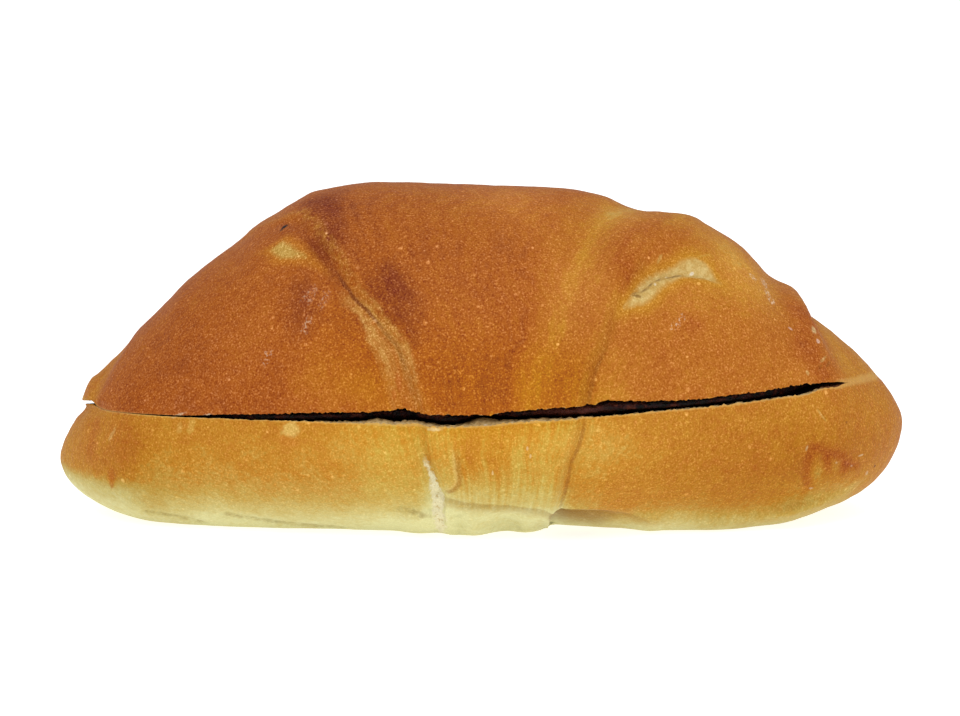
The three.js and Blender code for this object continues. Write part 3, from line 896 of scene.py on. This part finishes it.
class Field:
    """A value over a surface that shader nodes work out. Arithmetic on it makes further nodes."""

    def __init__(self, socket):
        self.socket = socket
        self.tree = socket.id_data

    def maths(self, operation, first, second=0.0):
        return field(self.tree, "ShaderNodeMath", {0: first, 1: second}, operation=operation)

    def __add__(self, other):
        return self.maths("ADD", self, other)

    def __sub__(self, other):
        return self.maths("SUBTRACT", self, other)

    def __rsub__(self, other):
        return self.maths("SUBTRACT", other, self)

    def __mul__(self, other):
        return self.maths("MULTIPLY", self, other)

    def __truediv__(self, other):
        return self.maths("DIVIDE", self, other)

    def __abs__(self):
        return self.maths("ABSOLUTE", self)

    __radd__ = __add__
    __rmul__ = __mul__

    def at_least(self, other):
        return self.maths("MAXIMUM", self, other)

    def fade(self, start, end):
        """0 before start, 1 after end and smooth between them."""
        return field(self.tree, "ShaderNodeMapRange", {"Value": self, "From Min": start, "From Max": end},
                     interpolation_type="SMOOTHSTEP")

    def between(self, start, end, soft):
        """1 between start and end, fading to 0 outside them."""
        return self.fade(start - soft, start + soft) * self.fade(end + soft, end - soft)

    def stroke(self, width):
        """A soft stroke along the line where a distance is 0."""
        return abs(self).fade(width, width * 0.25)

    def split(self):
        """The three parts of a vector."""
        return [Field(part) for part in node(self.tree, "ShaderNodeSeparateXYZ", {"Vector": self}).outputs]


def feed(made, inputs):
    """Links fields to a node's inputs and sets plain values on them."""
    for key, value in inputs.items():
        if isinstance(value, Field):
            made.id_data.links.new(value.socket, made.inputs[key])
        else:
            made.inputs[key].default_value = value


def node(tree, kind, inputs, **settings):
    """A shader node with its settings made and its inputs fed."""
    made = tree.nodes.new(kind)
    for name, value in settings.items():
        setattr(made, name, value)
    feed(made, inputs)
    return made


def field(tree, kind, inputs, **settings):
    """The first output of a new shader node."""
    return Field(node(tree, kind, inputs, **settings).outputs[0])


def read(tree, name):
    """The three numbers that a piece keeps at its points under a name."""
    return Field(node(tree, "ShaderNodeAttribute", {}, attribute_name=name).outputs["Vector"]).split()


def along_roll(place):
    """The place along the roll in millimetres."""
    return place.split()[0] / MM


def grain(place, size, detail=2.0):
    """Noise with this size of grain in millimetres, from -1 to 1 or so."""
    noise = field(place.tree, "ShaderNodeTexNoise",
                  {"Vector": place, "Scale": 1 / (size * MM), "Detail": detail})
    return (noise - 0.5) * 4


def cells_of(place, size):
    return node(place.tree, "ShaderNodeTexVoronoi", {"Vector": place, "Scale": 1 / (size * MM)}).outputs


def specks(place, cell, radius, kept):
    """Small round specks, one in each kept cell, some smaller or fainter than others."""
    cells = cells_of(place, cell)
    choice, growth, strength = Field(cells["Color"]).split()
    size = Field(cells["Distance"]) * (growth * 0.8 + 0.7)
    chosen = choice.fade(1 - kept, 1.1 - kept) * (strength * 0.7 + 0.3)
    return size.fade(radius / cell, radius / cell * 0.4) * chosen


# What the studio's light makes of a surface: its brightness on white, and the sheen that it lays on all
STUDIO_LIGHT = 1.37
STUDIO_SHEEN = 0.007
LEAST_TONE = 0.004
LEAST_LOOK = 0.06
SCREEN_GAMMA = 2.2

# Tones as they look in the studio's light, each channel from 0 to 255
BAKED_TONES = [(0, (231, 226, 166)), (0.15, (214, 196, 122)), (0.3, (204, 169, 82)), (0.45, (199, 137, 45)),
               (0.6, (188, 114, 40)), (0.75, (176, 96, 36)), (0.9, (149, 75, 35)), (1, (132, 58, 33))]
PASTE_TONES = [(0, (30, 16, 14)), (0.6, (52, 28, 24)), (1, (92, 48, 36))]
TONES = {
    "seam band": (202, 140, 66),
    "strand": (212, 160, 84),
    "beside the groove": (198, 138, 60),
    "high band": (192, 128, 54),
    # Painted shade in the left seam's groove
    "high groove shade": (140, 70, 22),
    "groove": (122, 62, 18),
    "low groove shade": (134, 74, 24),
    # Painted shade in the right seam's crease
    "upper crease shade": (164, 98, 28),
    "lower crease shade": (188, 122, 36),
    "crease shade line": (140, 82, 22),
    "round the eye": (204, 146, 44),
    "dull dough": (202, 164, 92),
    "pale dough": (222, 194, 126),
    # Painted shadow along the eye's crack
    "eye shadow line": (128, 92, 48),
    "round the corner": (200, 128, 38),
    "corner dough": (204, 168, 86),
    "torn dough": (240, 231, 188),
    "torn cracks": (206, 178, 116),
    "tongue rim": (228, 192, 112),
    "tongue shadow": (164, 112, 40),
    # Painted shade under the overhang, in the recess and in the base's creases
    "recess": (154, 108, 36),
    "base crease shade": (164, 142, 80),
    # Painted highlight of the glints
    "glint": (246, 212, 176),
    "lip": (226, 184, 106),
    "pore": (192, 152, 90),
    "crumb": (224, 192, 134),
    # Painted shade on the crumb deeper in the cut
    "shaded crumb": (156, 120, 74),
    "smear": (44, 24, 20),
    "browned end": (120, 56, 26),
    "loose crumb": (250, 240, 216),
    "lit paste": (108, 56, 46),
}


def tone(red, green, blue):
    """The colour of a surface that looks like this in the studio's light."""
    shares = [channel / 255 for channel in (red, green, blue)]
    linear = [s / 12.92 if s <= 0.04045 else ((s + 0.055) / 1.055) ** 2.4 for s in shares]
    return [max((channel - STUDIO_SHEEN) / STUDIO_LIGHT, LEAST_TONE) for channel in linear] + [1]


def named(name):
    return tone(*TONES[name])


def blend(share, first, second):
    """One colour laid over another."""
    mix = node(share.tree, "ShaderNodeMix", {0: share, 6: first, 7: second}, data_type="RGBA")
    return Field(mix.outputs[2])


def lay(colour, name, share):
    """Lays a named tone over a colour."""
    return blend(share, colour, named(name))


def ramp(value, stops):
    made = node(value.tree, "ShaderNodeValToRGB", {"Fac": value})
    elements = made.color_ramp.elements
    while len(elements) < len(stops):
        elements.new(0.5)
    for element, (place, colour) in zip(elements, stops):
        element.position = place
        element.color = tone(*colour)
    return Field(made.outputs["Color"])


def shade(colour, amount):
    """Makes a colour lighter or darker by an even amount of how bright it looks."""
    tree = colour.tree
    looks = field(tree, "ShaderNodeGamma", {"Color": colour, "Gamma": 1 / SCREEN_GAMMA})
    moved = field(tree, "ShaderNodeVectorMath", {0: looks, 1: amount}, operation="ADD")
    kept = field(tree, "ShaderNodeVectorMath", {0: moved, 1: (LEAST_LOOK,) * 3}, operation="MAXIMUM")
    return field(tree, "ShaderNodeGamma", {"Color": kept, "Gamma": SCREEN_GAMMA})


def fine_relief(height, strength, depth):
    """Relief that only the finish shows, its depth in millimetres."""
    return field(height.tree, "ShaderNodeBump",
                 {"Height": height, "Strength": strength, "Distance": depth * MM})


def new_finish(name):
    """A material, its surface, and where its patterns start."""
    finish = bpy.data.materials.new(name)
    finish.use_nodes = True
    tree = finish.node_tree
    place = Field(node(tree, "ShaderNodeTexCoord", {}).outputs["Object"])
    return finish, tree.nodes["Principled BSDF"], place


# Single flecks on the front: place (along, up), half size, lean in degrees, tone, strength
FLECKS = [
    ((-32.1, 20.3), (1.5, 1.2), 0, (228, 192, 106), 0.65),
    ((-32.3, 18.3), (1.9, 0.9), 0, (196, 120, 44), 0.4),
    ((-49.3, 20), (0.6, 1.3), 12, (218, 174, 84), 0.55),
    ((-51.4, 19.6), (0.5, 0.9), 0, (216, 170, 88), 0.4),
    ((-51.5, 21.9), (1.1, 0.22), 0, (222, 196, 158), 0.5),
    ((-46.8, 22), (1, 0.25), 0, (228, 206, 172), 0.6),
    ((26.4, 42.8), (0.8, 0.24), 0, (126, 88, 44), 0.6),
    ((30.5, 48.8), (0.25, 0.7), 25, (210, 168, 92), 0.5),
    ((37.7, 48.5), (0.2, 0.9), 45, (208, 158, 70), 0.5),
    # The next three are painted glints.
    ((36, 46.7), (0.25, 0.35), 40, (246, 236, 214), 0.7),
    ((31.5, 46.1), (0.2, 0.2), 0, (240, 225, 190), 0.6),
    ((29.5, 44.6), (0.2, 0.2), 0, (240, 225, 190), 0.6),
    ((-63.7, 17.5), (0.45, 0.9), 20, (212, 168, 98), 0.5),
    ((-63.9, 9.2), (0.45, 2.2), 0, (190, 112, 34), 0.6),
    ((57.6, 34.4), (0.4, 0.4), 0, (222, 196, 140), 0.6),
    ((58.2, 32.9), (0.3, 0.25), 0, (235, 200, 180), 0.6),
    ((58.9, 30.4), (0.25, 0.7), 20, (214, 178, 110), 0.45),
    ((59.8, 29.6), (0.22, 0.6), 15, (124, 74, 28), 0.4),
    ((58.2, 29.2), (0.22, 0.6), 15, (130, 78, 30), 0.35),
    ((53.3, 35.6), (0.35, 0.18), -30, (236, 196, 178), 0.55),
    ((55.9, 28.6), (0.3, 0.4), 0, (222, 190, 120), 0.4),
    ((58.2, 21.4), (0.22, 1), -25, (222, 178, 100), 0.5),
    ((55.7, 15.6), (0.2, 0.55), 10, (230, 200, 150), 0.5),
    ((65.9, 12.7), (0.45, 0.15), -8, (238, 215, 175), 0.55),
    ((61.2, 12.1), (0.2, 0.22), 0, (236, 206, 160), 0.5),
    ((64.2, 10.8), (0.2, 0.25), 0, (232, 196, 160), 0.5),
    ((67.4, 8.4), (0.3, 0.4), 0, (225, 200, 160), 0.5),
    ((56.9, 7.4), (0.35, 0.2), 0, (230, 205, 165), 0.5),
    ((7.7, 18), (0.18, 0.35), 0, (238, 212, 160), 0.45),
    ((8.2, 16.6), (0.18, 0.35), 0, (238, 212, 160), 0.45),
    ((1.9, 13.8), (0.16, 0.4), 0, (238, 206, 150), 0.5),
    ((-7.7, 21.3), (1.2, 0.3), 0, (236, 212, 150), 0.6),
    ((-13.8, 29.2), (0.45, 1.5), -8, (182, 98, 36), 0.6),
    ((-14.6, 27), (0.4, 0.9), 0, (186, 104, 40), 0.6),
    ((-34.1, 52.6), (0.5, 0.33), 30, (40, 16, 10), 1),
    ((68.9, 9.4), (0.22, 0.22), 0, (100, 50, 18), 0.8),
    ((62.9, 19.6), (0.2, 0.2), 0, (120, 64, 20), 0.6),
]

# Buttery glints on the front, painted highlights: place (along, up), half size, lean in degrees, strength
GLINTS = [
    ((33.2, 38.2), (0.6, 1.6), 35, 0.5),
    ((-26.4, 42.3), (0.7, 1.5), 25, 0.3),
    ((-29, 43), (1, 1.6), 30, 0.3),
    ((-29.4, 38), (0.7, 1.6), 25, 0.4),
    ((-36.2, 32.4), (0.9, 1.3), 20, 0.35),
    ((47.1, 44), (0.6, 0.35), 0, 0.8),
    ((49.2, 42.7), (0.6, 0.5), 0, 0.8),
    ((49.6, 41.2), (0.6, 0.5), 0, 0.8),
    ((50.1, 40.2), (0.7, 0.5), 0, 0.8),
]

# Unevenness of the bake: size of the grain in millimetres, share
BAKE_GRAINS = ((16, 0.035), (4, 0.03), (1.3, 0.035), (0.6, 0.04))

# Specks of the crust, partly painted sparkle: cell and radius in millimetres, share of the cells, strength
CRUST_SPECKS = ((1.0, 0.26, 0.5, 0.12), (2.2, 0.38, 0.5, 0.22), (5, 0.48, 0.6, 0.28))


def spot(marks, centre, size, lean):
    """An oval on the front of the crust, given by its place along the roll and its height."""
    tree = marks.place.tree
    bottom, middle, top = (front_climb(centre[0], centre[1] + rise) for rise in (-size[1], 0, size[1]))
    over_crust = field(tree, "ShaderNodeCombineXYZ", {0: marks.along, 2: marks.height})
    moved = field(tree, "ShaderNodeMapping",
                  {"Vector": over_crust, "Location": (centre[0], 0, middle),
                   "Rotation": (0, math.radians(lean), 0), "Scale": (size[0], 1, (top - bottom) / 2)},
                  vector_type="TEXTURE")
    away = Field(node(tree, "ShaderNodeVectorMath", {0: moved}, operation="LENGTH").outputs["Value"])
    return (away + grain(marks.place, 0.6) * 0.4).fade(1.4, 0.6)


def crust_marks(place):
    """What the crust keeps at its points, with its lines made a little wavy."""
    tree = place.tree
    wobble = grain(place, 1.6) * 0.12
    marks = SimpleNamespace(place=place, wobble=wobble, along=along_roll(place))
    marks.bake, marks.butter, marks.light = read(tree, "baking")
    marks.left, marks.right, marks.height = read(tree, "seams")
    marks.left_strand, marks.right_strand, marks.torn = (line + wobble for line in read(tree, "strands"))
    marks.eye, marks.cream, marks.corner = (line + wobble for line in read(tree, "eye"))
    marks.overhang, crease, tongue = read(tree, "base")
    marks.crease, marks.tongue = crease + wobble, tongue + wobble
    _, marks.lip, over_mouth = read(tree, "mouth")
    marks.lower = over_mouth.fade(0.3, -0.3)
    marks.patchy = grain(place, 1.1).fade(-0.9, 0.5)
    return marks


def browned(marks):
    """The baked colour: uneven, streaky on the outer wrap and yellower where butter ran."""
    tree = marks.place.tree
    fan = marks.left * 50 / (marks.left - marks.right)
    across = field(tree, "ShaderNodeCombineXYZ", {0: fan, 2: marks.height * 0.14})
    streaks = field(tree, "ShaderNodeTexNoise", {"Vector": across, "Scale": 0.6, "Detail": 3.5}) - 0.5
    marks.fibre = streaks.fade(-0.16, 0.12)
    outer_wrap = marks.left.fade(-5, 0) * marks.right.fade(3, -1)
    streaky = 0.1 + outer_wrap * (0.14 + marks.lower * 0.08)
    streaky = streaky * (0.15 + marks.overhang.fade(-1.5, 0.5))
    bake = marks.bake + streaks * streaky
    for size, share in BAKE_GRAINS:
        bake = bake + grain(marks.place, size) * share
    yellower = field(tree, "ShaderNodeCombineXYZ", {0: 1.0, 1: 1.0, 2: 1 - marks.butter * 0.95})
    return field(tree, "ShaderNodeVectorMath", {0: ramp(bake, BAKED_TONES), 1: yellower},
                 operation="MULTIPLY")


def left_seam(colour, marks):
    """The outer wrap's left edge: pale strands, and a groove that runs on up from them, darkened with painted
    shade.
    """
    height = marks.height
    fibre = 0.35 + marks.fibre * 0.65
    low_seam = height.between(38, 54, 3) * (0.55 + height.fade(40, 48))
    in_band = marks.left_strand.fade(-1.4, 0.4) * marks.right_strand.fade(1.4, -0.4)
    colour = lay(colour, "seam band", in_band * low_seam * fibre * 0.5)
    streaky = fibre * marks.patchy
    for strand, width in ((marks.left_strand, 1.5), (marks.right_strand, 1.7)):
        colour = lay(colour, "strand", strand.stroke(width) * low_seam * streaky * 0.45)
    beside_groove = marks.left.between(0.5, 1.7, 0.6) * height.between(47, 58, 3)
    colour = lay(colour, "beside the groove", beside_groove * streaky * 0.75)
    high_band = marks.left.between(0.6, 2.3, 0.8) * height.between(57, 80, 4)
    colour = lay(colour, "high band", high_band * streaky * 0.8)
    left = marks.left + marks.wobble
    # Painted shade in the groove: broad high up, and a fine dark line along its bottom lower down.
    colour = lay(colour, "high groove shade", (left + 0.4).stroke(1.6) * height.between(58, 67, 2.5) * 0.5)
    colour = lay(colour, "groove", left.stroke(0.42) * height.between(50.5, 59, 1.5) * 0.75)
    return lay(colour, "low groove shade", left.stroke(0.4) * height.between(44, 51, 1.5) * marks.patchy * 0.45)


def right_seam(colour, marks):
    """The outer wrap's right edge: painted shade in a soft crease, with a fine dark line of painted shade in
    it.
    """
    height = marks.height
    right = marks.right + marks.wobble * 0.4
    # Painted shade in the crease: a soft band at two heights, and a fine line.
    soft = (right + 0.8).stroke(2)
    colour = lay(colour, "upper crease shade", soft * height.between(38, 54, 3) * 0.35)
    colour = lay(colour, "lower crease shade", soft * height.between(24, 36, 2) * 0.35)
    line = height.between(38, 47, 2).at_least(height.between(21, 36.5, 1.5))
    return lay(colour, "crease shade line", right.stroke(0.5) * line * (0.4 + marks.patchy * 0.6) * 0.48)


def eye_dough(colour, marks):
    """Pale dough that shows where the wraps gape: in the eye on the right and at a corner on the left, with a
    painted shadow line along the eye.
    """
    colour = lay(colour, "round the eye", marks.cream.fade(-2.6, -0.1) * 0.6)
    uneven = grain(marks.place, 0.7) * 0.15
    dough = blend(grain(marks.place, 1.1).fade(-0.8, 0.8), named("dull dough"), named("pale dough"))
    colour = blend((marks.cream + uneven).fade(-0.6, 0.8) * 0.92, colour, dough)
    # Painted shadow along the eye's crack.
    line = marks.eye.stroke(0.42) * marks.along.fade(35, 33) * marks.patchy
    colour = lay(colour, "eye shadow line", line * marks.cream.fade(-0.5, 0.2) * 0.75)
    colour = lay(colour, "round the corner", marks.corner.fade(-2, 0.2) * 0.6)
    return lay(colour, "corner dough", (marks.corner + uneven).fade(-0.3, 1) * 0.78)


def torn_dough(colour, marks):
    """The torn strip under the seam and the tongue beside it."""
    place, height = marks.place, marks.height
    ragged = grain(place, 0.6) * 0.35 + grain(place, 2.2) * 0.35
    width = 0.25 + height.between(15, 26.5, 3.5) * 0.75
    tear = (abs(marks.torn) + ragged - width).fade(0.3, -0.3) * height.between(11, 30.5, 1.5)
    cracks = grain(place, 0.5).fade(0.2, 0.9)
    crumbly = blend(cracks * 0.75, named("torn dough"), named("torn cracks"))
    colour = blend(tear * 0.95, colour, crumbly)
    by_tongue = marks.torn.fade(1.2, 2.2) * height.fade(34, 30)
    colour = lay(colour, "tongue rim", (marks.tongue - 0.35).stroke(0.45) * by_tongue * 0.45)
    return lay(colour, "tongue shadow", (marks.tongue + 0.25).stroke(0.7) * by_tongue * 0.55)


def shaded_base(colour, marks):
    """Painted shade: the shadow under the overhang, deep in the recess beside the tail, and in the creases of
    the base.
    """
    overhang = marks.overhang + marks.wobble
    over_recess = marks.along.between(TAIL_END, 38, 1) * marks.along.fade(34, 15)
    ledge = marks.along.between(-6, TAIL_END, 1) * 0.4 + over_recess
    recess = ledge.fade(0.5, 0.9)
    under = overhang.fade(-2.6 - recess * 7.5, -0.1 - recess * 2.4) * overhang.fade(0.3, -0.1)
    # Painted shadow under the overhang and in the recess beside the tail.
    colour = lay(colour, "recess", under * ledge * 0.8)
    # Painted shade in the base's creases.
    return lay(colour, "base crease shade", marks.crease.fade(0.7, 0.1) * marks.patchy * 0.55)


def flecked(colour, marks):
    """Single flecks, blisters and burnt spots, and a few painted glints."""
    for centre, size, lean, tint, strength in FLECKS:
        colour = blend(spot(marks, centre, size, lean) * strength, colour, tone(*tint))
    return colour


def grainy(colour, marks):
    """Fine grain and specks, stronger where the crust is browner; the light specks partly stand for fine
    sparkle, a painted highlight.
    """
    fine = grain(marks.place, 0.3, 1.0)
    amount = fine.fade(0.05, 1.1) * 0.18 - fine.fade(0.0, -1.2) * 0.12
    for cell, radius, kept, share in CRUST_SPECKS:
        amount = amount + specks(marks.place, cell, radius, kept) * share
    amount = amount * (0.25 + marks.bake * 0.82) * (0.5 + marks.cream.fade(0.3, -0.6) * 0.5)
    # Lays on the painted light and shade of the bake spots as well.
    return shade(colour, amount + marks.light)


def pale_lips(colour, marks):
    """The crust's pale edge along the cut, which is all that shows of it where it is closed."""
    closed = marks.along.fade(60.5, 62.5)
    near_lip = (marks.lip + grain(marks.place, 0.6) * 0.15) / (0.4 + closed * 0.5)
    share = (marks.lower * 0.5).at_least(closed * 0.45)
    return lay(colour, "lip", near_lip.fade(1.0, 0.15) * share)


def crust_finish():
    """Baked crust: browned unevenly, grainy and specked, with lines and torn pale dough at the seams."""
    finish, surface, place = new_finish("baked crust")
    marks = crust_marks(place)
    colour = browned(marks)
    for add_to in (left_seam, right_seam, eye_dough, torn_dough, shaded_base, flecked, grainy):
        colour = add_to(colour, marks)
    # Painted highlights at the glints, broken up by grain, where the roughness is lowered too.
    shine = grain(place, 0.45).fade(0.1, 0.6)
    glossy = 0
    for centre, size, lean, strength in GLINTS:
        glint = spot(marks, centre, size, lean)
        colour = lay(colour, "glint", glint * shine * strength)
        glossy = glossy + glint
    relief = grain(place, 0.5) + grain(place, 1.4)
    feed(surface, {"Base Color": pale_lips(colour, marks), "Roughness": 0.58 - glossy * 0.3,
                   "Specular IOR Level": 0.1, "Normal": fine_relief(relief, 0.6, 0.05)})
    return finish


def crumb_finish():
    """Torn crumb on the faces of the cut: cream with pores, darker further in with painted shade, smeared
    with paste deeper in.
    """
    finish, surface, place = new_finish("bread crumb")
    depth, _, height = read(place.tree, "mouth")
    depth = depth + grain(place, 1.2) * 0.5
    pores = Field(cells_of(place, 0.6)["Distance"])
    colour = blend(pores.fade(0.1, 0.6), named("pore"), named("crumb"))
    # Painted shade on the crumb further into the cut.
    colour = lay(colour, "shaded crumb", depth.fade(1.2, 2.6) * 0.6)
    mound = height.between(-0.7, 0.15, 0.12)
    colour = lay(colour, "smear", depth.fade(2.2, 3.6) * (1 - mound * 0.6))
    right_end = along_roll(place).fade(56, 59.5)
    colour = lay(colour, "browned end", right_end * depth.fade(0.1, 1.2) * 0.85)
    colour = lay(colour, "loose crumb", specks(place, 1.1, 0.32, 0.5) * depth.fade(3, 1.5) * 0.8)
    feed(surface, {"Base Color": colour, "Roughness": 0.8, "Specular IOR Level": 0.2,
                   "Normal": fine_relief(pores, 0.8, 0.15)})
    return finish


def paste_finish():
    """Moist dark bean paste with bits of skin."""
    finish, surface, place = new_finish("moist bean paste")
    colour = ramp(grain(place, 1.5, 4.0) + 0.4, PASTE_TONES)
    colour = lay(colour, "lit paste", along_roll(place).between(9, 20, 3) * 0.6)
    lumps = grain(place, 0.45, 3.0) + grain(place, 1.2)
    feed(surface, {"Base Color": colour, "Roughness": 0.35, "Specular IOR Level": 0.12,
                   "Normal": fine_relief(lumps, 1.0, 0.2)})
    return finish


CAMERA_ELEVATION = 9
CAMERA_DISTANCE = 550
CAMERA_TARGET = (-0.2, 0, 27.7)
CAMERA_LENS = 116.2
SENSOR_WIDTH = 36
WHITE = (1, 1, 1, 1)
FLOOR_GREY = (0.65, 0.65, 0.65, 1)
FLOOR_GLOW = 0.72
SKY_LIGHT = 0.7

# Lamps: name, place and size in metres, and power in watts
LAMPS = (("key", (-0.25, -0.8, 1.15), 0.9, 9), ("fill", (0.7, -0.9, 0.5), 0.9, 3))
LAMP_TARGET = Vector((0, 0, 0.02))


def aim(thing, target):
    """Turns a lamp or a camera towards a place, and puts it in the scene."""
    thing.rotation_euler = (target - thing.location).to_track_quat("-Z", "Y").to_euler()
    bpy.context.scene.collection.objects.link(thing)


def lay_floor():
    bpy.ops.object.select_all(action="DESELECT")
    bpy.ops.mesh.primitive_plane_add(size=6)
    floor = bpy.context.object
    floor.name = "floor"
    finish, surface, _ = new_finish("floor")
    feed(surface, {"Base Color": FLOOR_GREY, "Roughness": 0.9, "Emission Color": WHITE,
                   "Emission Strength": FLOOR_GLOW})
    floor.data.materials.append(finish)


def set_stage():
    """A pale floor, soft light and a camera that sees the roll from the front, a little from above."""
    lay_floor()
    scene = bpy.context.scene
    scene.world = bpy.data.worlds.new("studio")
    scene.world.use_nodes = True
    feed(scene.world.node_tree.nodes["Background"], {"Color": WHITE, "Strength": SKY_LIGHT})
    for name, place, size, power in LAMPS:
        lamp = bpy.data.objects.new(name, bpy.data.lights.new(name, "AREA"))
        lamp.data.energy = power
        lamp.data.size = size
        lamp.location = place
        aim(lamp, LAMP_TARGET)
    angle = math.radians(CAMERA_ELEVATION)
    camera = bpy.data.objects.new("camera", bpy.data.cameras.new("camera"))
    camera.data.lens = CAMERA_LENS
    camera.data.sensor_width = SENSOR_WIDTH
    camera.data.clip_start = 0.01
    target = Vector(CAMERA_TARGET) * MM
    camera.location = target + CAMERA_DISTANCE * MM * Vector((0, -math.cos(angle), math.sin(angle)))
    aim(camera, target)
    scene.camera = camera
    scene.view_settings.view_transform = "Standard"


bake_roll(crust_finish(), crumb_finish())
spread_paste(paste_finish())
set_stage()

bpy.context.view_layer.update()
